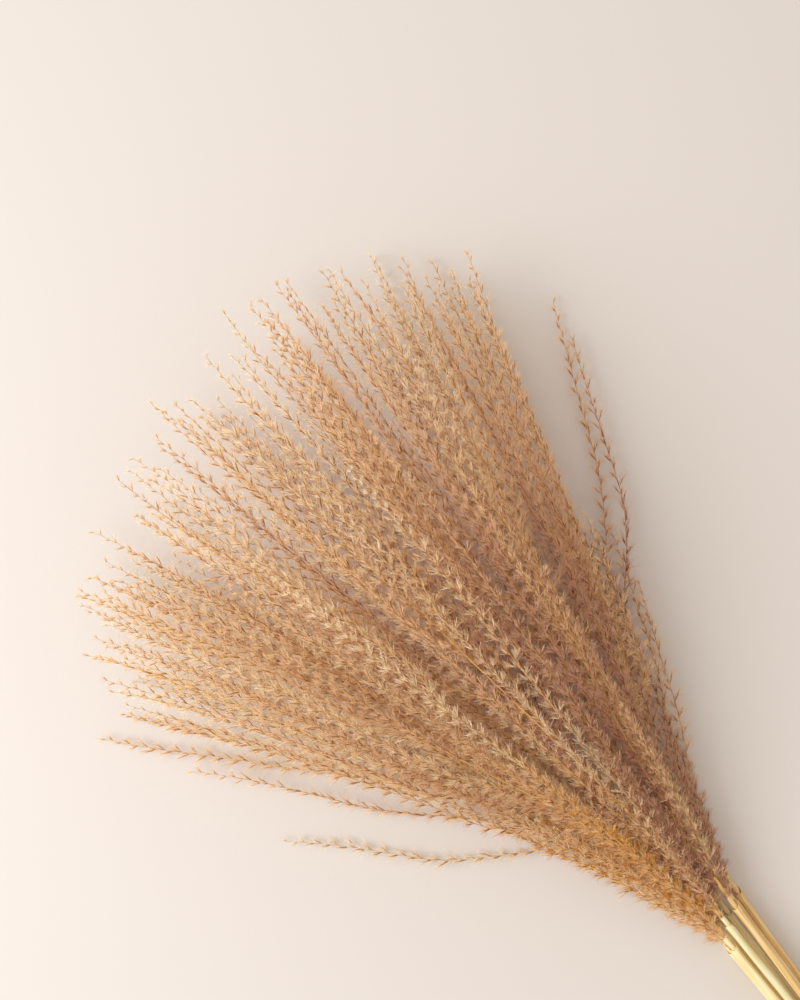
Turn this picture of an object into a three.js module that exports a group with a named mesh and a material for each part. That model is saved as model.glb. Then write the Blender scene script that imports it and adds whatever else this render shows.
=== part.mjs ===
// A bundle of dried miscanthus lying on a flat surface, as a three.js scene graph.
// Millimetres, +Z up. +X runs along the stems from their cut ends to the plume tips,
// and the plumes nod towards +Y. The origin is the bottom centre of the bundle's bounding box.
import * as THREE from "three";
import { mergeVertices } from "three/addons/utils/BufferGeometryUtils.js";

const DEGREE = Math.PI / 180;

// Places along the bundle, measured from the cut ends.
const TIE_X = 125;
const NECK_X = 288; // where the first plumes begin

// The fan of plumes. A strand's place across the fan runs from -1, its upright side, to +1, the side
// that nods, and its height from 0, on the surface, to 1, on top.
const FAN_MIDDLE = 6.5 * DEGREE; // direction of the strand at 0
const FAN_HALF_SPREAD = 24.9 * DEGREE;
const NODDING_BEND = 0.33; // a strand's heading changes by this share of its direction, either way
const UPRIGHT_BEND = 0.08;
const LONGEST_STRAND = 496;
const LONGEST_ACROSS = -0.3; // the place across the fan of the longest strand
const SHORTENING = { upright: 140, nodding: 43 }; // by the square of the place across
const NECK_HALF_WIDTH = 11;
const NECK_HEIGHT = 26;
const BULGE = 94; // how much thicker than the neck the fan is at its thickest
const BULGE_PHASE = 0.75 * Math.PI; // the thickness follows a sine up to this angle at the tips
const BULGE_ONSET = 1.5; // exponent of that sine: above 1, the fan thickens gently from the neck
const EDGE_THINNING = 0.45; // share of the height lost at the fan's two edges

// Plumes lie in three layers. Each plume fills a cell of the fan, less a clear gap round it.
const LAYERS = [
  { places: [-0.85, -0.28, 0.28, 0.85], halfWidth: 0.275, height: 1 / 6, tip: 1 },
  { places: [-0.62, 0, 0.62], halfWidth: 0.3, height: 1 / 2, tip: 0.97 },
  { places: [-0.56, 0, 0.56], halfWidth: 0.24, height: 5 / 6, tip: 0.93 },
];
const CELL_HALF_HEIGHT = 1 / 6;
const CELL_FILL = 0.82;
const FIRST_BASE = 0; // share of a strand's length at which the nodding side's plumes begin
const LAST_BASE = 0.07; // and the upright side's
const PLUME_BLUNTNESS = 0.6; // 1 is an ellipsoid, and less is blunter
const PLUME_SQUARENESS = 3; // exponent of the cross-section, where 2 is an ellipse
const PLUME_SIDES = 14;
const PLUME_RINGS = 12;

// Culms taper from the cut end to the plume.
const CULM_RADIUS = { cut: 2.3, top: 1.6 };
const CLEARANCE = 0.3; // between pieces that touch in life
const SHEATH_GAP = 0.4;
const SHEATH_WALL = 0.35;
const STEM_SIDES = 8;
const CULM_STEPS = 16;
const SHEATH_NODES = [8, 9, 10]; // the steps up a culm from which its sheath may grow
const MOUTH_SLANT = 2.5; // how far a sheath's mouth slopes either way along the stem
const BELOW_PLUME = 6; // from a sheath's mouth to the end of its culm

// Where the tie holds them, culms stand this far apart. They splay again towards the cut ends.
const TIED_PITCH = 5.2;
const TIED_HALF_WIDTH = 9.4; // per unit of place across the fan
const CUT_HALF_WIDTH = 12;
const CUT_PITCH = 5.6;
const TIE = { width: 14, wall: 2, cornerSegments: 6 };

const COLOURS = {
  culms: ["#dcc98c", "#d5cb8e", "#e6cf86", "#e3b878"],
  sheath: "#dfcb9c",
  plumes: ["#b98c5d", "#a87c56", "#c79d6a"],
  tie: "#b39a70",
};

const POLE = 1e-6; // a sphere's vertex this near its axis is one of its poles

const mix = THREE.MathUtils.lerp;

function strandLength(across) {
  const shortening = across < LONGEST_ACROSS ? SHORTENING.upright : SHORTENING.nodding;
  return LONGEST_STRAND - shortening * (across - LONGEST_ACROSS) ** 2;
}

function fanThickness(share, across) {
  const thickest = NECK_HEIGHT + BULGE * Math.sin(BULGE_PHASE * share) ** BULGE_ONSET;
  return thickest * (1 - EDGE_THINNING * across ** 2);
}

// The point of the fan at a share of a strand's length. Each strand is an arc that starts at the neck.
function fanPoint(share, across, height) {
  const direction = FAN_MIDDLE + FAN_HALF_SPREAD * across;
  const bend = direction * (direction > 0 ? NODDING_BEND : UPRIGHT_BEND);
  const turned = bend * share;
  const arc = strandLength(across) * share;
  const chord = turned === 0 ? arc : (arc * Math.sin(turned)) / turned;
  const heading = direction - bend + turned;
  return new THREE.Vector3(
    NECK_X + chord * Math.cos(heading),
    NECK_HALF_WIDTH * across + chord * Math.sin(heading),
    height * fanThickness(share, across),
  );
}

// Moves every vertex of a closed geometry to place(vertex), and merges the vertices along its seams.
function warp(geometry, place) {
  geometry.deleteAttribute("normal");
  geometry.deleteAttribute("uv");
  const warped = mergeVertices(geometry);
  const position = warped.getAttribute("position");
  const vertex = new THREE.Vector3();
  for (let i = 0; i < position.count; i += 1) {
    vertex.fromBufferAttribute(position, i);
    const placed = place(vertex);
    position.setXYZ(i, placed.x, placed.y, placed.z);
  }
  warped.computeVertexNormals();
  return warped;
}

// The point beside a path: x to its right, z above it, and share along it.
function besidePath(path, share, x, z) {
  const tangent = path.getTangentAt(share);
  const right = tangent.clone().cross(new THREE.Vector3(0, 0, 1)).normalize();
  const above = right.clone().cross(tangent);
  return path.getPointAt(share).addScaledVector(right, x).addScaledVector(above, z);
}

// A culm's course: from its cut end through the tie to its plume's base.
function culmPath(plume) {
  const { across, layer, height, base } = plume;
  const lowestAtTie = TIE.wall + CLEARANCE + CULM_RADIUS.cut;
  return new THREE.CatmullRomCurve3([
    new THREE.Vector3(0, CUT_HALF_WIDTH * across, CULM_RADIUS.cut + CUT_PITCH * layer),
    new THREE.Vector3(TIE_X, TIED_HALF_WIDTH * across, lowestAtTie + TIED_PITCH * layer),
    fanPoint(base, across, height),
  ]);
}

function culmRadius(share) {
  return mix(CULM_RADIUS.cut, CULM_RADIUS.top, share);
}

// The share of the path at which the culm stops, just short of its plume.
function culmEnd(path) {
  return 1 - CLEARANCE / path.getLength();
}

function culmGeometry(path) {
  const blank = new THREE.CylinderGeometry(CULM_RADIUS.top, CULM_RADIUS.cut, 1, STEM_SIDES, CULM_STEPS);
  return warp(blank, (vertex) => besidePath(path, (vertex.y + 0.5) * culmEnd(path), vertex.x, vertex.z));
}

// A tube round the top of the culm, from one of its nodes to a sloping mouth just below the plume.
// Its rings stand where the culm's do, so that the clearance between the two is even.
function sheathGeometry(path, node) {
  const length = path.getLength();
  const mouth = 1 - (BELOW_PLUME + MOUTH_SLANT) / length;
  const shares = [];
  for (let step = node; step < CULM_STEPS; step += 1) shares.push((step / CULM_STEPS) * culmEnd(path));
  shares.push(mouth);
  const wall = (share, offset) => new THREE.Vector2(culmRadius(share) + offset, share);
  const outside = shares.map((share) => wall(share, SHEATH_GAP + SHEATH_WALL));
  const inside = shares.map((share) => wall(share, SHEATH_GAP)).reverse();
  const blank = new THREE.LatheGeometry([...outside, ...inside, outside[0]], STEM_SIDES);
  return warp(blank, (vertex) => {
    const height = vertex.z / Math.hypot(vertex.x, vertex.z);
    const slope = vertex.y < mouth ? 0 : (MOUTH_SLANT / length) * height;
    return besidePath(path, vertex.y + slope, vertex.x, vertex.z);
  });
}

// The mass of a plume's racemes: a blunt spindle that fills its cell of the fan.
function plumeGeometry(plume) {
  const { across, halfWidth, height, base, tip } = plume;
  const blank = new THREE.SphereGeometry(1, PLUME_SIDES, PLUME_RINGS);
  return warp(blank, (vertex) => {
    const ring = Math.hypot(vertex.x, vertex.z);
    const power = PLUME_SQUARENESS;
    const corner = (Math.abs(vertex.x) ** power + Math.abs(vertex.z) ** power) ** (1 / power);
    const fill = ring < POLE ? 0 : (CELL_FILL * ring ** PLUME_BLUNTNESS) / corner;
    const share = mix(base, tip, (vertex.y + 1) / 2);
    return fanPoint(
      share,
      across - halfWidth * fill * vertex.x,
      height + CELL_HALF_HEIGHT * fill * vertex.z,
    );
  });
}

// A ring with rounded corners, as close round the culms as twine is wound.
function tieGeometry() {
  const layers = LAYERS.length;
  const halfWidth = TIED_HALF_WIDTH * LAYERS[0].places.at(-1) + CULM_RADIUS.cut + CLEARANCE;
  const halfHeight = (TIED_PITCH * (layers - 1)) / 2 + CULM_RADIUS.cut + CLEARANCE;
  const corner = CULM_RADIUS.cut + CLEARANCE;
  const shape = new THREE.Shape();
  roundedRectangle(shape, halfWidth + TIE.wall, halfHeight + TIE.wall, corner + TIE.wall);
  shape.holes.push(roundedRectangle(new THREE.Path(), halfWidth, halfHeight, corner));
  const length = { depth: TIE.width, bevelEnabled: false, curveSegments: TIE.cornerSegments };
  const ring = new THREE.ExtrudeGeometry(shape, length);
  return warp(ring, (vertex) => new THREE.Vector3(
    TIE_X - TIE.width / 2 + vertex.z,
    vertex.x,
    halfHeight + TIE.wall + vertex.y,
  ));
}

function roundedRectangle(outline, halfWidth, halfHeight, radius) {
  const x = halfWidth - radius;
  const y = halfHeight - radius;
  outline.absarc(x, y, radius, 0, Math.PI / 2);
  outline.absarc(-x, y, radius, Math.PI / 2, Math.PI);
  outline.absarc(-x, -y, radius, Math.PI, 1.5 * Math.PI);
  outline.absarc(x, -y, radius, 1.5 * Math.PI, 2 * Math.PI);
  outline.closePath();
  return outline;
}

function material(name, colour, roughness) {
  return new THREE.MeshStandardMaterial({ name, color: colour, roughness, metalness: 0 });
}

// Every plume's cell and base, layer by layer from the surface up.
function plumes() {
  return LAYERS.flatMap(({ places, ...cell }, layer) => places.map((across) => {
    const upright = (1 - across) / 2;
    return { across, layer, base: mix(FIRST_BASE, LAST_BASE, upright), ...cell };
  }));
}

function build() {
  const bundle = new THREE.Group();
  const add = (name, geometry, look) => {
    const mesh = new THREE.Mesh(geometry, look);
    mesh.name = name;
    bundle.add(mesh);
  };
  plumes().forEach((plume, i) => {
    const number = String(i + 1).padStart(2, "0");
    const path = culmPath(plume);
    const node = SHEATH_NODES[i % SHEATH_NODES.length];
    const culmColour = COLOURS.culms[i % COLOURS.culms.length];
    const plumeColour = COLOURS.plumes[i % COLOURS.plumes.length];
    add(`stem_${number}`, culmGeometry(path), material("culm", culmColour, 0.6));
    add(`sheath_${number}`, sheathGeometry(path, node), material("sheath", COLOURS.sheath, 0.7));
    add(`plume_${number}`, plumeGeometry(plume), material("plume", plumeColour, 0.9));
  });
  add("tie", tieGeometry(), material("twine", COLOURS.tie, 0.95));

  const box = new THREE.Box3().setFromObject(bundle);
  const middle = box.getCenter(new THREE.Vector3());
  bundle.position.set(-middle.x, -middle.y, -box.min.z);
  return bundle;
}

export default build();
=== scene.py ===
"""The looks of a bundle of dried miscanthus lying on a pale surface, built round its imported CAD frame.

Everything is in metres. Lengths along the bundle are measured from its cut ends. A strand of the fan of
plumes is named by its place across the fan, from -1 on the upright side to +1 on the side that nods, and by
its height, from 0 on the surface to 1 on top. fan_point() turns a share of a strand's length into a point.
"""

import math

import bpy
import numpy as np
from mathutils import Matrix, Vector

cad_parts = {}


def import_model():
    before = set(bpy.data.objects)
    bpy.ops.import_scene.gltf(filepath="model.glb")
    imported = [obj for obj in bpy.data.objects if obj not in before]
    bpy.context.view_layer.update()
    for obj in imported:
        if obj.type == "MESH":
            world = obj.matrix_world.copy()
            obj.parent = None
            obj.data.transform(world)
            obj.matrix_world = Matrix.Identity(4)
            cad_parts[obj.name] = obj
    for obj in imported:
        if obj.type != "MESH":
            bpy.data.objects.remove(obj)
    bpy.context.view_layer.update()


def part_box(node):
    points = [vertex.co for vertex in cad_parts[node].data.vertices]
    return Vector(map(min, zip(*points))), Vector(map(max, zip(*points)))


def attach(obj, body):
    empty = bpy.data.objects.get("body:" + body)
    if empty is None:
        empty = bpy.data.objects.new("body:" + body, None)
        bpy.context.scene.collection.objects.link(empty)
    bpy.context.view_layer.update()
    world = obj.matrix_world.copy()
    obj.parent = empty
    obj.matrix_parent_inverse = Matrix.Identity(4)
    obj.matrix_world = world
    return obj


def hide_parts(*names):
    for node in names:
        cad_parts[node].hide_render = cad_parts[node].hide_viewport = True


MM = 0.001

# The bundle along its length, and the fan: the same driving dimensions as the CAD model's.
TIE_X = 0.125
NECK_X = 0.288
FAN_MIDDLE = math.radians(6.5)
FAN_HALF_SPREAD = math.radians(24.9)
NODDING_BEND = 0.33
UPRIGHT_BEND = 0.08
LONGEST_STRAND = 0.496
LONGEST_ACROSS = -0.3
SHORTENING_UPRIGHT = 0.140
SHORTENING_NODDING = 0.043
NECK_HALF_WIDTH = 0.011
NECK_HEIGHT = 0.026
BULGE = 0.094
BULGE_PHASE = 0.75 * math.pi
BULGE_ONSET = 1.5
EDGE_THINNING = 0.45
LAYERS = (
    {"places": (-0.85, -0.28, 0.28, 0.85), "half_width": 0.275, "height": 1 / 6},
    {"places": (-0.62, 0.0, 0.62), "half_width": 0.30, "height": 1 / 2},
    {"places": (-0.56, 0.0, 0.56), "half_width": 0.24, "height": 5 / 6},
)
CELL_HALF_HEIGHT = 1 / 6
FIRST_BASE = 0.0
LAST_BASE = 0.07
CULM_RADIUS_CUT = 2.3 * MM
CULM_RADIUS_TOP = 1.6 * MM
TIED_PITCH = 5.2 * MM
TIED_HALF_WIDTH = 9.4 * MM
CUT_PITCH = 5.6 * MM
CUT_HALF_WIDTH = 12 * MM
TIE_WALL = 2 * MM
TIE_WIDTH = 14 * MM
CLEARANCE = 0.3 * MM

# Culms, and the sheath of the last leaf round each. A sheath starts just above its culm's upper node.
SHEATH_STARTS = (8 / 16, 9 / 16, 10 / 16)  # shares of a culm's length, in turn from one culm to the next
LOWER_NODE = 0.17
NODE_SWELLING = 0.13
NODE_LENGTH = 2.4 * MM
CULM_RINGS = 60
SHEATH_SPACE = 0.25 * MM
SHEATH_THICKNESS = 0.15 * MM
SHEATH_TURN = 2.3 * math.pi  # a rolled sheet, so it goes round more than once
SHEATH_WIDENING = 0.26 * MM  # over that turn, so that one margin lies over the other
SEATING = 4 * MM  # a sheath grips its culm at the foot, and stands off it past this length
BELOW_PLUME = 6 * MM
MOUTH_SLANT = 2.5 * MM
MOUTH_RAGGED = 0.5 * MM
MOUTH_FLARE = 0.5 * MM
FLARING = 5 * MM
SHEATH_RINGS = 26
SHEATH_COLUMNS = 34

# Two-ply twine, wound side by side round the bundle.
TWINE_RADIUS = 0.95 * MM
PLY_RADIUS = 0.54 * MM
PLY_TURN = 6.5 * MM
TURNS_OF_TWINE = 6.0
TWINE_STEP = 0.9 * MM

# The racemes of a plume. Starts and tips are shares of a strand's length, and lengths are in metres.
RACEMES_PER_PLUME = 16
AXIS_SHARE = 0.5
AXIS_RADIUS = 0.8 * MM
AXIS_TIP = 0.4  # the axis thins to this share of its radius
AXIS_TAPER = 18 * MM
AXIS_RINGS = 40
CROWDING = 0.8  # above 1, more of the racemes start near the foot of the axis
FIRST_RACEME = 0.34
LAST_RACEME = 0.28
RACEME_VARIATION = 0.02
SHORTEST_RACEME = 0.3  # as a share of a strand
DENSE_TIPS = (0.91, 1.0)
SPREAD = 1.35  # in half widths of a plume's cell
SPREADING = 0.24  # share of a raceme's length over which it leaves the axis for its own place
STRAY_SPREADING = 0.6
BASAL_RACEMES = 4  # short ones that clothe the foot of each plume
BASAL_START = (-0.016, 0.02)  # from the plume's base, where a start below 0 is on the culm
BASAL_RACEME = (0.09, 0.18)
DENSE_EDGES = (-0.95, 1.02)  # places across the fan
THIN_EDGE = -0.88  # beyond it only short racemes and the strays below
THIN_EDGE_TIP = 0.62
WAVE = (0.005, 0.02)  # how far a raceme wanders from its place across the fan
WAVE_UP = (0.01, 0.05)  # and from its height in it
WAVES = (0.7, 1.5)  # in the length of a raceme
COURSE_POINTS = 220
LOWEST, HIGHEST = 0.03, 0.97  # as heights in the fan
RESTING_LIFT = 5 * MM  # the lowest rachises are held this far off the surface by their silk
RESTING_ONSET = (0.05, 0.15)  # the share of a strand where that begins, and over how much it grows
SURFACE_GAP = 0.2 * MM

# A raceme: a thin rachis with a pair of spikelets at each node, to its left and right in turn. One spikelet
# of a pair has a short pedicel and the other a long one. Angles are degrees, as means and spreads.
FIRST_NODE = 2 * MM
NODE_SPACING = 5.3 * MM
NODE_JITTER = 0.1  # of the spacing
TWIST = 3.0  # radians at most, from one end of a raceme to the other
RACHIS_ZIGZAG = 0.18 * MM
RACHIS_RADIUS = (0.30 * MM, 0.12 * MM)
PAIR = (
    {"pedicel": 1.2 * MM, "lean": 17, "roll": -25},
    {"pedicel": 3.4 * MM, "lean": 30, "roll": 25},
)
LEAN_SPREAD = 6
ROLL_SPREAD = 22
SPIKELET_LENGTH = 4.6 * MM
SPIKELET_RADIUS = 0.37 * MM
SPIKELET_FLATNESS = (1.2, 0.8)  # how much its section is wider one way and narrower the other
SPIKELET_WIDEST = 0.3  # as a share of its length
SPIKELET_SIZES = (0.85, 1.12)
FADING_FROM = 0.8  # share of a raceme's length past which its spikelets shrink to half the size

# Silk: a tuft of hairs at every spikelet.
HAIRS_PER_SPIKELET = 11
HAIRS_LOST_AT_TIP = 0.35
HAIR_LENGTH = (4.5 * MM, 8.5 * MM)
HAIR_HALF_WIDTH = 0.17 * MM
HAIR_TIP_HALF_WIDTH = 0.11 * MM
HAIR_LEAN = (math.radians(15), math.radians(12))  # from the way its spikelet points: mean and spread
LOOSE_HAIRS = 0.3
LOOSE_HAIR_LEAN = math.radians(28)

# Tones, from 0, mauve brown, through 0.4, tan, and 0.7, cream, to 1, golden.
MIDDLE_TONE = 0.32
PAINTED_LIGHT_ACROSS = 0.12  # painted light and shade: added on the nodding side, towards the window light, and taken off on the upright one, away from it
GOLDEN_AND_LIT = 0.6  # partly the plume's own golden colour and partly painted light, added on the nodding side at the neck, towards the window light
GOLDEN_REACH = 0.35
GOLDEN_ONSET = (-0.5, 1.1)  # the place across the fan where it begins, and over how much it grows
CREAM = 0.28  # added at the tips
CREAM_ONSET = (0.4, 0.5)  # the share of a strand where it begins, and over how much it grows
PLUME_TONES = 0.06
RACEME_TONES = 0.17  # how much the racemes of one plume differ from each other
TONE_SHIFT_LIMITS = (-0.28, 0.18)
NECK_CONTRAST = 1.5  # how much more they differ towards the neck
SPIKELET_TONES = 0.07
HAIR_TONES = 0.03
AXIS_TONES = (0.85, 0.95)

# Single racemes that stand clear of the fan's edges, by the number of their plume.
STRAYS = {
    1: (
        {"across": -1.08, "start": 0.40, "tip": 0.99},
        {"across": -1.13, "start": 0.36, "tip": 0.94},
        {"across": -1.08, "start": 0.12, "tip": 0.54},
        {"across": -1.03, "start": 0.16, "tip": 0.62},
    ),
    4: (
        {"across": 1.40, "start": 0.20, "tip": 0.74},
        {"across": 1.15, "start": 0.26, "tip": 0.85},
        {"across": 1.07, "start": 0.40, "tip": 0.98},
    ),
}

# Straw colours for low, middle and high values of a noise. Culms are tan on the upright side, then
# greenish, then pale.
TINT_EDGES = (-0.4, 0.4)
STRAWS = {
    "tan": [(0.3, "#d2a35a"), (0.5, "#e8c481"), (0.7, "#f5e0b2")],
    "green": [(0.3, "#d6c68a"), (0.5, "#e9dca8"), (0.7, "#f4ecca")],
    "pale": [(0.3, "#e8cc88"), (0.5, "#f5e1aa"), (0.7, "#fcf0d0")],
}
TWINE_STRAW = [(0.3, "#8d6f45"), (0.5, "#b7986a"), (0.7, "#d2b98c")]
CULM_STREAKS = (26, 5)  # round and along
SHEATH_STREAKS = (34, 3)
TWINE_STREAKS = (14, 400)

# The camera, above the middle of the picture, and the light.
CAMERA_TURN = math.radians(-128.5)
CAMERA_HEIGHT = 1.467
CAMERA_LENS = 85
PICTURE_MIDDLE = (-0.2085, 0.2674)  # from the neck, to the right and up in the picture
WINDOW_PLACE = (-1.1, -0.2, 1.0)  # from the picture's middle, right, up and off the surface
WINDOW_SIZE = 1.2
WINDOW_POWER = 18.0
WINDOW_COLOUR = (0.98, 1.0, 1.04)
WORLD_COLOUR = (1.0, 0.92, 0.84, 1.0)
WORLD_STRENGTH = 0.8
FLOOR_COLOUR = "#d8d2cc"
FLOOR_HALF_SIZE = 3.0
SILK_BOUNCES = 12  # light reaches deep into silk only from hair to hair

SEED = 11


def smooth(x):
    """Eases from 0 to 1 as x does, and is level below 0 and above 1."""
    x = np.clip(x, 0.0, 1.0)
    return x * x * (3 - 2 * x)


def grown(x, onset):
    """0 up to where an onset begins, and 1 from where it is complete."""
    begins, width = onset
    return smooth((x - begins) / width)


def unit(v):
    return v / np.maximum(np.linalg.norm(v, axis=-1, keepdims=True), 1e-12)


def strand_length(across):
    """The longest strand is somewhat to the upright side of the fan's middle."""
    shortening = np.where(across < LONGEST_ACROSS, SHORTENING_UPRIGHT, SHORTENING_NODDING)
    return LONGEST_STRAND - shortening * (across - LONGEST_ACROSS) ** 2


def fan_point(share, across, height):
    """The point of the fan at a share of a strand's length, in the bundle's own frame."""
    direction = FAN_MIDDLE + FAN_HALF_SPREAD * across
    bend = direction * np.where(direction > 0, NODDING_BEND, UPRIGHT_BEND)
    turned = bend * share
    chord = strand_length(across) * share * np.sinc(turned / math.pi)
    heading = direction - bend + turned
    thickness = NECK_HEIGHT + BULGE * np.abs(np.sin(BULGE_PHASE * share)) ** BULGE_ONSET
    return np.stack([
        NECK_X + chord * np.cos(heading),
        NECK_HALF_WIDTH * across + chord * np.sin(heading),
        height * thickness * (1 - EDGE_THINNING * np.minimum(np.abs(across), 1.1) ** 2),
    ], axis=-1)


def hermite(first, last, first_way, last_way, t):
    """A smooth curve between two points that leaves and arrives along the given ways."""
    t = np.asarray(t)[..., None]
    span = np.linalg.norm(last - first)
    return (
        first * (2 * t ** 3 - 3 * t ** 2 + 1) + last * (3 * t ** 2 - 2 * t ** 3)
        + unit(first_way) * span * (t ** 3 - 2 * t ** 2 + t) + unit(last_way) * span * (t ** 3 - t ** 2)
    )


def centripetal_spline(points, per_span):
    """A curve through all the points, the same as the one that the CAD culms follow."""
    points = np.asarray(points, float)
    ends = [2 * points[0] - points[1], *points, 2 * points[-1] - points[-2]]
    spans = []
    for a, b, c, d in zip(ends, ends[1:], ends[2:], ends[3:]):
        ab, bc, cd = (math.sqrt(np.linalg.norm(q - p)) for p, q in ((a, b), (b, c), (c, d)))
        leave = ((b - a) / ab - (c - a) / (ab + bc) + (c - b) / bc) * bc
        arrive = ((c - b) / bc - (d - b) / (bc + cd) + (d - c) / cd) * bc
        t = np.linspace(0, 1, per_span, endpoint=False)[:, None]
        spans.append(
            b * (2 * t ** 3 - 3 * t ** 2 + 1) + c * (3 * t ** 2 - 2 * t ** 3)
            + leave * (t ** 3 - 2 * t ** 2 + t) + arrive * (t ** 3 - t ** 2)
        )
    return np.concatenate([*spans, points[-1:]])


class Course:
    """A curve in space that gives its points and its frames at any distances along it."""

    def __init__(self, points, up=(0.0, 0.0, 1.0)):
        self.points = points
        self.run = np.concatenate([[0], np.cumsum(np.linalg.norm(np.diff(points, axis=0), axis=1))])
        self.along = unit(np.gradient(points, axis=0))
        self.up = np.array(up)

    @property
    def length(self):
        return self.run[-1]

    def read(self, values, distance):
        return np.stack([np.interp(distance, self.run, values[:, k]) for k in range(3)], axis=-1)

    def frame(self, distance):
        """The points, the way along the curve at each, and the two ways across it."""
        along = unit(self.read(self.along, distance))
        side = unit(np.cross(along, self.up))
        return self.read(self.points, distance), along, side, np.cross(side, along)


# ---------------------------------------------------------------- meshes

class Shape:
    """Triangles with a colour coordinate at each corner, collected from many small solids."""

    def __init__(self):
        self.points, self.faces, self.coordinates, self.count = [], [], [], 0

    def add(self, points, faces, coordinates):
        self.points.append(points.reshape(-1, 3))
        self.faces.append(faces.reshape(-1, 3) + self.count)
        self.coordinates.append(coordinates.reshape(-1, 3, 2))
        self.count += len(self.points[-1])

    def mesh(self, name, smooth_shaded):
        points = np.concatenate(self.points)
        faces = np.concatenate(self.faces)
        coordinates = np.concatenate(self.coordinates)
        mesh = bpy.data.meshes.new(name)
        mesh.vertices.add(len(points))
        mesh.vertices.foreach_set("co", points.astype(np.float32).ravel())
        mesh.loops.add(faces.size)
        mesh.loops.foreach_set("vertex_index", faces.astype(np.int32).ravel())
        mesh.polygons.add(len(faces))
        mesh.polygons.foreach_set("loop_start", np.arange(0, faces.size, 3, dtype=np.int32))
        layer = mesh.uv_layers.new(name="OFBake")
        layer.data.foreach_set("uv", coordinates.astype(np.float32).ravel())
        mesh.polygons.foreach_set("use_smooth", np.full(len(faces), smooth_shaded))
        mesh.update(calc_edges=True)
        return mesh


def place_piece(name, shape, material, node, shift, smooth_shaded=True):
    """Makes a piece from a shape in the bundle's own frame, in place of a CAD node."""
    mesh = shape.mesh(name, smooth_shaded)
    mesh.transform(shift)
    mesh.materials.append(material)
    piece = bpy.data.objects.new(name, mesh)
    bpy.context.scene.collection.objects.link(piece)
    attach(piece, "root")
    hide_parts(node)
    return piece


def grid_quads(grid):
    """The squares of a grid of vertex numbers or of colour coordinates, each as its corners in turn."""
    corners = [grid[:-1, :-1], grid[1:, :-1], grid[1:, 1:], grid[:-1, 1:]]
    return np.stack(corners, axis=2).reshape(-1, 4, *grid.shape[2:])


def triangles(quads):
    return np.concatenate([quads[:, [0, 1, 2]], quads[:, [0, 2, 3]]])


def colour_grid(u, v):
    """Colour coordinates for a grid with a row for each v and a column for each u."""
    return np.stack(np.meshgrid(u, v), axis=-1)


def add_tube(shape, course, distance, radius, sides, u=(0.0, 1.0), v=(0.0, 1.0)):
    """A closed round tube along part of a course, with a ring at each distance."""
    centre, _, side, above = course.frame(distance)
    rows = len(distance)
    angle = (np.arange(sides) * 2 * math.pi / sides - math.pi / 2)[:, None]
    radius = np.broadcast_to(radius, rows)[:, None, None]
    rings = centre[:, None] + radius * (np.cos(angle) * side[:, None] + np.sin(angle) * above[:, None])
    numbers = np.arange(rows * sides).reshape(rows, sides)
    numbers = np.concatenate([numbers, numbers[:, :1]], axis=1)
    colours = colour_grid(np.linspace(*u, sides + 1), np.linspace(*v, rows))
    first, last = np.full(sides, rows * sides), np.full(sides, rows * sides + 1)
    ends = np.concatenate([
        np.stack([first, numbers[0, :-1], numbers[0, 1:]], -1),
        np.stack([last, numbers[-1, 1:], numbers[-1, :-1]], -1),
    ])
    end_colours = np.concatenate([
        np.stack([colours[1, :-1], colours[0, :-1], colours[0, 1:]], -2),
        np.stack([colours[-2, :-1], colours[-1, 1:], colours[-1, :-1]], -2),
    ])
    shape.add(
        np.concatenate([rings.reshape(-1, 3), centre[:1], centre[-1:]]),
        np.concatenate([triangles(grid_quads(numbers)), ends]),
        np.concatenate([triangles(grid_quads(colours)), end_colours]),
    )


def add_sheet(shape, outer, inner):
    """A thin closed sheet between two grids of points. Its outer face takes the left of the colour map."""
    rows, columns = outer.shape[:2]
    over = np.arange(rows * columns).reshape(rows, columns)
    under = over + rows * columns
    rims = (
        (under[0], over[0]), (over[-1], under[-1]),
        (over[:, 0], under[:, 0]), (under[:, -1], over[:, -1]),
    )
    v = np.linspace(0, 1, rows)
    quads = [grid_quads(over), grid_quads(under)[:, ::-1]]
    colours = [
        grid_quads(colour_grid(np.linspace(0, 0.48, columns), v)),
        grid_quads(colour_grid(np.linspace(0.52, 1, columns), v))[:, ::-1],
    ]
    for rim in rims:
        quads.append(grid_quads(np.stack(rim)))
        rim_colours = colour_grid(np.linspace(0.9, 0.99, len(rim[0])), (0.49, 0.51))
        colours.append(grid_quads(rim_colours[..., ::-1]))
    points = np.concatenate([outer.reshape(-1, 3), inner.reshape(-1, 3)])
    shape.add(points, triangles(np.concatenate(quads)), triangles(np.concatenate(colours)))


def add_copies(shape, points, faces, along, tone):
    """Adds one small solid many times over. All the corners of a copy have almost the same tone."""
    count, corners = points.shape[:2]
    every = faces[None] + np.arange(count)[:, None, None] * corners
    u = np.clip(tone, 0.01, 0.99)[:, None, None] + np.array([-0.002, 0.002, 0.0])
    v = along[faces] + np.array([0.0, 0.0, 0.004])
    solid = (count, len(faces), 3)
    shape.add(points, every, np.stack([np.broadcast_to(u, solid), np.broadcast_to(v, solid)], -1))


# ---------------------------------------------------------------- culms, sheaths and twine

def culm_course(cell):
    """From the cut end through the tie to the plume's base."""
    lowest_tied = TIE_WALL + CLEARANCE + CULM_RADIUS_CUT
    across, layer = cell["across"], cell["layer"]
    return Course(centripetal_spline([
        (0, CUT_HALF_WIDTH * across, CULM_RADIUS_CUT + CUT_PITCH * layer),
        (TIE_X, TIED_HALF_WIDTH * across, lowest_tied + TIED_PITCH * layer),
        fan_point(cell["base"], across, cell["height"]),
    ], per_span=60))


def culm_radius(course, distance):
    return CULM_RADIUS_CUT + (CULM_RADIUS_TOP - CULM_RADIUS_CUT) * distance / course.length


def sheath_start(number):
    return SHEATH_STARTS[(number - 1) % len(SHEATH_STARTS)]


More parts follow.
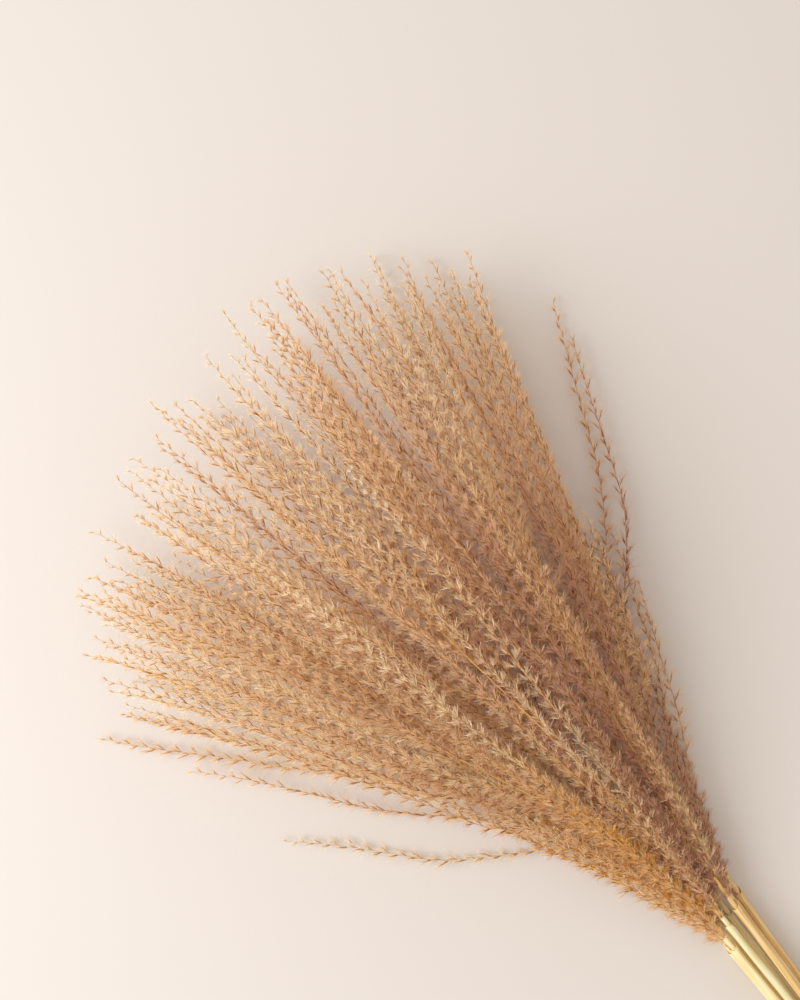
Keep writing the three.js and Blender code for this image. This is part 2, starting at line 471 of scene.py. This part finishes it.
def build_culm(number, cell, material, shift):
    """A smooth tapered culm with two swollen nodes."""
    course = culm_course(cell)
    nodes = [share * course.length for share in (LOWER_NODE, sheath_start(number))]
    near = np.linspace(-2.5, 2.5, 9) * NODE_LENGTH
    rings = [np.linspace(0, course.length, CULM_RINGS), *(node + near for node in nodes)]
    distance = np.unique(np.concatenate(rings))
    swelling = sum(np.exp(-(((distance - node) / NODE_LENGTH) ** 2)) for node in nodes)
    radius = culm_radius(course, distance) * (1 + NODE_SWELLING * swelling)
    shape = Shape()
    add_tube(shape, course, distance, radius, sides=12)
    node = f"stem_{number:02d}"
    place_piece(f"{node}_culm", shape, material, node, shift)


def build_sheath(number, cell, material, shift):
    """The rolled sheath of a culm's last leaf, with a ragged slanting mouth."""
    rng = np.random.default_rng(SEED * 200 + number)
    course = culm_course(cell)
    share = np.linspace(0, 1, SHEATH_RINGS)[:, None] ** 0.8  # with more rings towards the mouth
    angle = np.linspace(0, SHEATH_TURN, SHEATH_COLUMNS)[None]
    turned = rng.uniform(0, 2 * math.pi)
    start = sheath_start(number) * course.length + NODE_LENGTH
    ragged = rng.uniform(-1, 1, angle.shape) * MOUTH_RAGGED
    mouth = course.length - BELOW_PLUME - MOUTH_SLANT * (1 - np.cos(angle)) + ragged
    distance = start + (mouth - start) * share
    centre, _, side, above = course.frame(distance)
    outward = np.cos(angle + turned)[..., None] * side + np.sin(angle + turned)[..., None] * above
    to_mouth = (1 - share) * (course.length - start)
    flare = MOUTH_FLARE * np.exp(-to_mouth / FLARING)
    seated = smooth(share * (course.length - start) / SEATING)
    radius = culm_radius(course, distance) + SHEATH_SPACE * seated + flare
    radius = radius + SHEATH_WIDENING * angle / SHEATH_TURN
    shape = Shape()
    outer = centre + outward * (radius + SHEATH_THICKNESS)[..., None]
    add_sheet(shape, outer, centre + outward * radius[..., None])
    node = f"sheath_{number:02d}"
    place_piece(f"{node}_leaf", shape, material, node, shift)


def rounded_outline(half_width, half_height, corner):
    """A rounded rectangle across the bundle, from the middle of its lower side and back to it."""
    points = [(0.0, -half_height)]
    for quarter, (y, z) in enumerate(((1, -1), (1, 1), (-1, 1), (-1, -1))):
        for angle in np.linspace(-math.pi / 2, 0, 7) + quarter * math.pi / 2:
            points.append((
                y * (half_width - corner) + corner * math.cos(angle),
                z * (half_height - corner) + corner * math.sin(angle),
            ))
    return np.array([*points, points[0]])


def build_twine(material, shift):
    """Several turns of twine, whose ends are tucked away underneath."""
    room = CULM_RADIUS_CUT + CLEARANCE
    half_width = TIED_HALF_WIDTH * LAYERS[0]["places"][-1] + room
    half_height = TIED_PITCH + room
    outline = rounded_outline(half_width + TWINE_RADIUS, half_height + TWINE_RADIUS, room + TWINE_RADIUS)
    loop = Course(np.column_stack([np.zeros(len(outline)), outline]), up=(1, 0, 0))
    distance = np.arange(0, loop.length * TURNS_OF_TWINE, TWINE_STEP)
    points = loop.frame(distance % loop.length)[0]
    points[:, 0] = TIE_X + (distance / distance[-1] - 0.5) * (TIE_WIDTH - 2 * TWINE_RADIUS)
    points[:, 2] += half_height + TIE_WALL
    twine = Course(points, up=(1, 0, 0))
    shape = Shape()
    centre, _, side, above = twine.frame(twine.run)
    for ply in range(2):
        angle = (2 * math.pi * twine.run / PLY_TURN + ply * math.pi)[:, None]
        offset = (TWINE_RADIUS - PLY_RADIUS) * (np.cos(angle) * side + np.sin(angle) * above)
        strand = Course(centre + offset, up=(1, 0, 0))
        add_tube(shape, strand, strand.run, PLY_RADIUS, sides=6, u=(0.5 * ply, 0.5 * ply + 0.48))
    place_piece("tie_twine", shape, material, "tie", shift)


# ---------------------------------------------------------------- plumes

def plume_cells():
    """Every plume's place in the fan, numbered as the CAD nodes are."""
    cells = []
    for layer, row in enumerate(LAYERS):
        for across in row["places"]:
            upright = (1 - across) / 2
            cells.append({
                "across": across,
                "half_width": row["half_width"],
                "height": row["height"],
                "layer": layer,
                "base": FIRST_BASE + (LAST_BASE - FIRST_BASE) * upright,
            })
    return cells


def axis_points(cell, t):
    """The plume's axis, from the end of its culm out into its cell of the fan."""
    culm = culm_course(cell)
    end = cell["base"] + AXIS_SHARE
    last, beyond = (fan_point(share, cell["across"], cell["height"]) for share in (end, end + 0.01))
    return hermite(culm.points[-1], last, culm.along[-1], beyond - last, t)


def raceme_plans(number, cell, rng):
    """Where each raceme of a plume starts, where its tip is, and its place and height in the fan."""
    count = RACEMES_PER_PLUME
    order = ((np.arange(count) + rng.random(count)) / count) ** CROWDING
    low = max(cell["across"] - SPREAD * cell["half_width"], DENSE_EDGES[0])
    high = min(cell["across"] + SPREAD * cell["half_width"], DENSE_EDGES[1])
    places = low + (high - low) * rng.permutation((np.arange(count) + rng.random(count)) / count)
    plans = []
    for k in range(count):
        start = cell["base"] + AXIS_SHARE * order[k]
        length = FIRST_RACEME + (LAST_RACEME - FIRST_RACEME) * order[k] + rng.normal(0, RACEME_VARIATION)
        farthest = THIN_EDGE_TIP if places[k] < THIN_EDGE else 1.0
        tip = min(start + length / strand_length(places[k]), rng.uniform(*DENSE_TIPS) * farthest)
        plans.append({"across": places[k], "start": min(start, tip - SHORTEST_RACEME), "tip": tip})
    for k in range(BASAL_RACEMES):
        place = low + (high - low) * (k + 0.5) / BASAL_RACEMES
        start = cell["base"] + rng.uniform(*BASAL_START)
        tip = start + rng.uniform(*BASAL_RACEME) / strand_length(place)
        plans.append({"across": place, "start": start, "tip": tip})
    for stray in STRAYS.get(number, ()):
        plans.append({**stray, "spreading": STRAY_SPREADING})
    for plan in plans:
        plan["height"] = cell["height"] + CELL_HALF_HEIGHT * rng.uniform(-1, 1)
    return plans


def raceme_foot(cell, share):
    """Where a raceme leaves the axis, or the top of the culm when it starts below the plume's base."""
    if share >= 0:
        return axis_points(cell, min(share / AXIS_SHARE, 1.0))
    culm = culm_course(cell)
    return culm.frame(culm.length + share * LONGEST_STRAND)[0]


def raceme_course(cell, plan, rng):
    """A raceme's course, with its place in the fan at each of its points."""
    t = np.linspace(0, 1, COURSE_POINTS)
    wave, wave_up = rng.uniform(*WAVE), rng.uniform(*WAVE_UP)
    pace, pace_up = rng.uniform(*WAVES, 2)
    phase, phase_up = rng.uniform(0, 2 * math.pi, 2)
    across = plan["across"] + wave * t * np.sin(2 * math.pi * pace * t + phase)
    height = plan["height"] + wave_up * t * np.sin(2 * math.pi * pace_up * t + phase_up)
    share = plan["start"] + (plan["tip"] - plan["start"]) * t
    strand = fan_point(share, across, np.clip(height, LOWEST, HIGHEST))
    foot = raceme_foot(cell, plan["start"] - cell["base"])
    points = strand + (foot - strand[0]) * (1 - smooth(t / plan.get("spreading", SPREADING)))[:, None]
    points[:, 2] = np.maximum(points[:, 2], RESTING_LIFT * grown(share, RESTING_ONSET))
    return Course(points), share, across


def tone_of(share, across, shift):
    """The tone at a place in the fan of a raceme whose own tone is shifted."""
    near_neck = np.exp(-((share / GOLDEN_REACH) ** 2))
    # Golden at the neck on the nodding side: partly the plume's own colour and partly painted light on the
    # side towards the window.
    golden = GOLDEN_AND_LIT * near_neck * grown(across, GOLDEN_ONSET)
    cream = CREAM * grown(share, CREAM_ONSET)
    # The term across the fan is painted light and shade: lighter on the nodding side, towards the window,
    # and darker on the upright side.
    return MIDDLE_TONE + golden + cream + PAINTED_LIGHT_ACROSS * across + shift * (1 + NECK_CONTRAST * near_neck)


def add_spikelets(shape, root, callus, direction, size, tone, rng):
    """Slim spindles, each from its place on the rachis, where it is a pedicel, to its pointed tip."""
    u = unit(np.cross(direction, rng.normal(size=root.shape)))[:, None]
    v = np.cross(direction, u[:, 0])[:, None]
    angle = (np.arange(3) * 2 * math.pi / 3)[:, None]
    around = SPIKELET_FLATNESS[0] * np.cos(angle) * u + SPIKELET_FLATNESS[1] * np.sin(angle) * v
    length = (SPIKELET_LENGTH * size)[:, None]
    radius = (SPIKELET_RADIUS * size)[:, None, None]
    wide = (callus + direction * length * SPIKELET_WIDEST)[:, None] + around * radius
    points = np.concatenate([root[:, None], wide, (callus + direction * length)[:, None]], axis=1)
    points[..., 2] = np.maximum(points[..., 2], SURFACE_GAP)
    faces = np.array([(0, 2, 1), (0, 3, 2), (0, 1, 3), (1, 2, 4), (2, 3, 4), (3, 1, 4)])
    add_copies(shape, points, faces, np.array([0.02, 0.5, 0.5, 0.5, 1.0]), tone)


def add_silk(shape, callus, direction, along, size, tone, rng):
    """A tuft of fine closed slivers from each callus, with fewer of them towards the raceme's tip."""
    owner = np.repeat(np.arange(len(callus)), HAIRS_PER_SPIKELET)
    owner = owner[rng.random(len(owner)) > HAIRS_LOST_AT_TIP * along[owner]]
    count = len(owner)
    root, forward = callus[owner], direction[owner]
    outward = unit(np.cross(forward, rng.normal(size=(count, 3))))
    lean = rng.normal(*HAIR_LEAN, count) + LOOSE_HAIR_LEAN * (rng.random(count) < LOOSE_HAIRS)
    lean = np.abs(lean)[:, None]
    heading = unit(np.cos(lean) * forward + np.sin(lean) * outward)
    tip = root + heading * (rng.uniform(*HAIR_LENGTH, count) * size[owner])[:, None]
    across = unit(np.cross(heading, rng.normal(size=(count, 3))))
    at_root, at_tip = across * HAIR_HALF_WIDTH, np.cross(heading, across) * HAIR_TIP_HALF_WIDTH
    points = np.stack([root + at_root, root - at_root, tip + at_tip, tip - at_tip], axis=1)
    points[..., 2] = np.maximum(points[..., 2], SURFACE_GAP)
    faces = np.array([(0, 2, 3), (1, 3, 2), (0, 1, 2), (0, 3, 1)])
    hair_tone = tone[owner] + rng.normal(0, HAIR_TONES, count)
    add_copies(shape, points, faces, np.array([0.02, 0.02, 0.98, 0.98]), hair_tone)


def dress_raceme(stalks, spikelets, silk, course, share, across, tone_shift, rng):
    """Adds a raceme's rachis, and a pair of spikelets with their silk at each of its nodes."""
    nodes = np.arange(FIRST_NODE, course.length, NODE_SPACING)
    nodes = nodes + rng.uniform(-NODE_JITTER, NODE_JITTER, len(nodes)) * NODE_SPACING
    at, along, side, above = course.frame(nodes)
    first_twist, twist_rate = rng.uniform(0, 2 * math.pi), rng.uniform(-TWIST, TWIST)
    twist = (first_twist + nodes / course.length * twist_rate)[:, None]
    flat = np.cos(twist) * side + np.sin(twist) * above
    normal = np.cross(along, flat)
    hand = np.where(np.arange(len(nodes)) % 2 == 0, 1.0, -1.0)[:, None]
    at = at + flat * hand * RACHIS_ZIGZAG
    share, across = np.interp(nodes, course.run, share), np.interp(nodes, course.run, across)
    tone = tone_of(share, across, tone_shift)
    rachis = Course(np.concatenate([course.points[:1], at]))
    flat_tone = float(np.clip(tone.mean(), 0, 0.98))
    radius = np.linspace(*RACHIS_RADIUS, len(rachis.run))
    add_tube(stalks, rachis, rachis.run, radius, sides=3, u=(flat_tone, flat_tone + 0.01))
    fading = 1 - 0.5 * smooth((nodes / course.length - FADING_FROM) / (1 - FADING_FROM))
    for spikelet in PAIR:
        lean = np.radians(rng.normal(spikelet["lean"], LEAN_SPREAD, len(nodes)))[:, None]
        roll = np.radians(rng.normal(spikelet["roll"], ROLL_SPREAD, len(nodes)))[:, None]
        outward = hand * (np.cos(roll) * flat + np.sin(roll) * normal)
        direction = unit(np.cos(lean) * along + np.sin(lean) * outward)
        size = fading * rng.uniform(*SPIKELET_SIZES, len(nodes))
        callus = at + direction * (spikelet["pedicel"] * size)[:, None]
        own_tone = tone + rng.normal(0, SPIKELET_TONES, len(nodes))
        add_spikelets(spikelets, at, callus, direction, size, own_tone, rng)
        add_silk(silk, callus, direction, nodes / course.length, size, tone, rng)


def build_plume(number, cell, materials, shift):
    """A plume in three pieces: its axis with the rachises, its spikelets, and its silk."""
    rng = np.random.default_rng(SEED * 100 + number)
    plume_tone = rng.uniform(-PLUME_TONES, PLUME_TONES)
    stalks, spikelets, silk = Shape(), Shape(), Shape()
    axis = Course(axis_points(cell, np.linspace(0, 1, AXIS_RINGS)))
    axis_radius = AXIS_RADIUS + (CULM_RADIUS_TOP - AXIS_RADIUS) * np.exp(-axis.run / AXIS_TAPER)
    axis_radius = axis_radius * np.linspace(1, AXIS_TIP, AXIS_RINGS)
    add_tube(stalks, axis, axis.run, axis_radius, sides=8, u=AXIS_TONES)
    for plan in raceme_plans(number, cell, rng):
        course, share, across = raceme_course(cell, plan, rng)
        tone_shift = np.clip(plume_tone + rng.normal(0, RACEME_TONES), *TONE_SHIFT_LIMITS)
        dress_raceme(stalks, spikelets, silk, course, share, across, tone_shift, rng)
    node = f"plume_{number:02d}"
    place_piece(f"{node}_rachis", stalks, materials["rachis"], node, shift)
    place_piece(f"{node}_spikelets", spikelets, materials["spikelets"], node, shift)
    place_piece(f"{node}_silk", silk, materials["silk"], node, shift, smooth_shaded=False)


# ---------------------------------------------------------------- materials

def linear(code):
    """A hex colour as linear RGBA."""
    channels = [int(code[i:i + 2], 16) / 255 for i in (1, 3, 5)]
    return [c / 12.92 if c <= 0.04045 else ((c + 0.055) / 1.055) ** 2.4 for c in channels] + [1.0]


def blank_material(name, roughness):
    material = bpy.data.materials.new(name)
    material.use_nodes = True
    tree = material.node_tree
    shader = tree.nodes["Principled BSDF"]
    shader.inputs["Roughness"].default_value = roughness
    return material, tree, shader


def add_ramp(tree, factor, stops):
    ramp = tree.nodes.new("ShaderNodeValToRGB")
    elements = ramp.color_ramp.elements
    while len(elements) < len(stops):
        elements.new(0.5)
    for element, (position, code) in zip(elements, stops):
        element.position = position
        element.color = linear(code)
    tree.links.new(factor, ramp.inputs["Fac"])
    return ramp.outputs["Color"]


def add_mix(tree, kind, factor, first, second):
    mix = tree.nodes.new("ShaderNodeMix")
    mix.data_type = "RGBA"
    mix.blend_type = kind
    mix.inputs[0].default_value = factor
    tree.links.new(first, mix.inputs[6])
    tree.links.new(second, mix.inputs[7])
    return mix.outputs[2]


def coordinates(tree):
    """The colour coordinates: tone, and the place from root to tip."""
    source = tree.nodes.new("ShaderNodeUVMap")
    source.uv_map = "OFBake"
    split = tree.nodes.new("ShaderNodeSeparateXYZ")
    tree.links.new(source.outputs["UV"], split.inputs[0])
    return split.outputs["X"], split.outputs["Y"]


def fibre_material(name, tones, lengthwise, roughness, see_through):
    """Plant fibre that takes its tone and its place from root to tip from its colour coordinates."""
    material, tree, shader = blank_material(name, roughness)
    tone, along = coordinates(tree)
    colour = add_mix(tree, "MULTIPLY", 1.0, add_ramp(tree, tone, tones), add_ramp(tree, along, lengthwise))
    tree.links.new(colour, shader.inputs["Base Color"])
    if see_through:
        glow = tree.nodes.new("ShaderNodeBsdfTranslucent")
        tree.links.new(colour, glow.inputs["Color"])
        both = tree.nodes.new("ShaderNodeMixShader")
        both.inputs[0].default_value = see_through
        tree.links.new(shader.outputs[0], both.inputs[1])
        tree.links.new(glow.outputs[0], both.inputs[2])
        tree.links.new(both.outputs[0], tree.nodes["Material Output"].inputs["Surface"])
    return material


def straw_material(name, stops, repeats, roughness):
    """Straw with streaks along it, from noise that is stretched along the colour map."""
    material, tree, shader = blank_material(name, roughness)
    source = tree.nodes.new("ShaderNodeUVMap")
    source.uv_map = "OFBake"
    stretch = tree.nodes.new("ShaderNodeMapping")
    stretch.inputs["Scale"].default_value = (*repeats, 1)
    noise = tree.nodes.new("ShaderNodeTexNoise")
    noise.inputs["Scale"].default_value = 1.0
    noise.inputs["Detail"].default_value = 3.0
    tree.links.new(source.outputs["UV"], stretch.inputs["Vector"])
    tree.links.new(stretch.outputs["Vector"], noise.inputs["Vector"])
    tree.links.new(add_ramp(tree, noise.outputs["Fac"], stops), shader.inputs["Base Color"])
    return material


def build_materials():
    """Fibres shade from mauve brown to golden by tone, and a little from root to tip."""
    silk = fibre_material(
        "silk", [(0.0, "#dfb096"), (0.4, "#fbdfb0"), (0.7, "#fff5da"), (1.0, "#f8cc6a")],
        [(0.0, "#f0e0cc"), (0.3, "#ffffff"), (1.0, "#ffffff")], roughness=0.45, see_through=0.3)
    spikelets = fibre_material(
        "spikelets", [(0.0, "#8a5238"), (0.4, "#cc863c"), (0.7, "#d8a050"), (1.0, "#e09c2c")],
        [(0.0, "#f6e2bc"), (0.5, "#ffffff"), (1.0, "#e0b08a")], roughness=0.5, see_through=0.25)
    rachis = fibre_material(
        "rachis", [(0.0, "#c48f52"), (0.6, "#dfae62"), (1.0, "#ecc97c")],
        [(0.0, "#ffffff"), (1.0, "#f2e2c8")], roughness=0.45, see_through=0.0)
    culms, sheaths = [], []
    for tint, stops in STRAWS.items():
        culms.append(straw_material(f"culm_{tint}", stops, CULM_STREAKS, roughness=0.35))
        sheaths.append(straw_material(f"sheath_{tint}", stops, SHEATH_STREAKS, roughness=0.45))
    return {
        "silk": silk,
        "spikelets": spikelets,
        "rachis": rachis,
        "culms": culms,
        "sheaths": sheaths,
        "twine": straw_material("twine", TWINE_STRAW, TWINE_STREAKS, roughness=0.8),
    }


# ---------------------------------------------------------------- stage

def build_camera(origin):
    """Looks straight down. In the picture the stems run from lower right to upper left."""
    right = np.array([math.cos(CAMERA_TURN), math.sin(CAMERA_TURN), 0.0])
    up = np.array([-math.sin(CAMERA_TURN), math.cos(CAMERA_TURN), 0.0])
    neck = origin + np.array([NECK_X, 0.0, 0.0])
    middle = neck + right * PICTURE_MIDDLE[0] + up * PICTURE_MIDDLE[1]
    camera = bpy.data.cameras.new("camera")
    camera.lens = CAMERA_LENS
    camera.sensor_width = 36
    camera.clip_end = 20
    holder = bpy.data.objects.new("camera", camera)
    holder.location = (middle[0], middle[1], CAMERA_HEIGHT)
    holder.rotation_euler = (0, 0, CAMERA_TURN)
    bpy.context.scene.collection.objects.link(holder)
    bpy.context.scene.camera = holder
    return middle, right, up


def add_light(name, place, target, size, power, colour):
    light = bpy.data.lights.new(name, "AREA")
    light.shape = "DISK"
    light.size = size
    light.energy = power
    light.color = colour
    holder = bpy.data.objects.new(name, light)
    holder.location = place
    holder.rotation_euler = Vector(target - place).to_track_quat("-Z", "Y").to_euler()
    bpy.context.scene.collection.objects.link(holder)


def build_world():
    world = bpy.data.worlds.new("world")
    world.use_nodes = True
    background = world.node_tree.nodes["Background"].inputs
    background["Color"].default_value = WORLD_COLOUR
    background["Strength"].default_value = WORLD_STRENGTH
    bpy.context.scene.world = world


def build_floor():
    material, _, shader = blank_material("floor", 0.9)
    shader.inputs["Base Color"].default_value = linear(FLOOR_COLOUR)
    mesh = bpy.data.meshes.new("floor")
    side = FLOOR_HALF_SIZE
    corners = [(-side, -side, 0), (side, -side, 0), (side, side, 0), (-side, side, 0)]
    mesh.from_pydata(corners, [], [(0, 1, 2, 3)])
    mesh.materials.append(material)
    floor = bpy.data.objects.new("floor", mesh)
    bpy.context.scene.collection.objects.link(floor)


def build_stage(middle, right, up):
    """A soft window from the picture's left, warm light all round, and a pale surface."""
    across, along, above = WINDOW_PLACE
    window = middle + right * across + up * along + np.array([0, 0, above])
    add_light("window", window, middle, WINDOW_SIZE, WINDOW_POWER, WINDOW_COLOUR)
    build_world()
    build_floor()
    bpy.context.scene.view_settings.view_transform = "Standard"
    bpy.context.scene.cycles.diffuse_bounces = SILK_BOUNCES


def main():
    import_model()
    low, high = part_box("tie")
    origin = np.array([(low.x + high.x) / 2 - TIE_X, (low.y + high.y) / 2, 0.0])
    shift = Matrix.Translation(Vector(origin))
    build_stage(*build_camera(origin))
    materials = build_materials()
    for number, cell in enumerate(plume_cells(), start=1):
        tint = np.digitize(cell["across"], TINT_EDGES)
        build_culm(number, cell, materials["culms"][tint], shift)
        build_sheath(number, cell, materials["sheaths"][tint], shift)
        build_plume(number, cell, materials, shift)
    build_twine(materials["twine"], shift)


main()
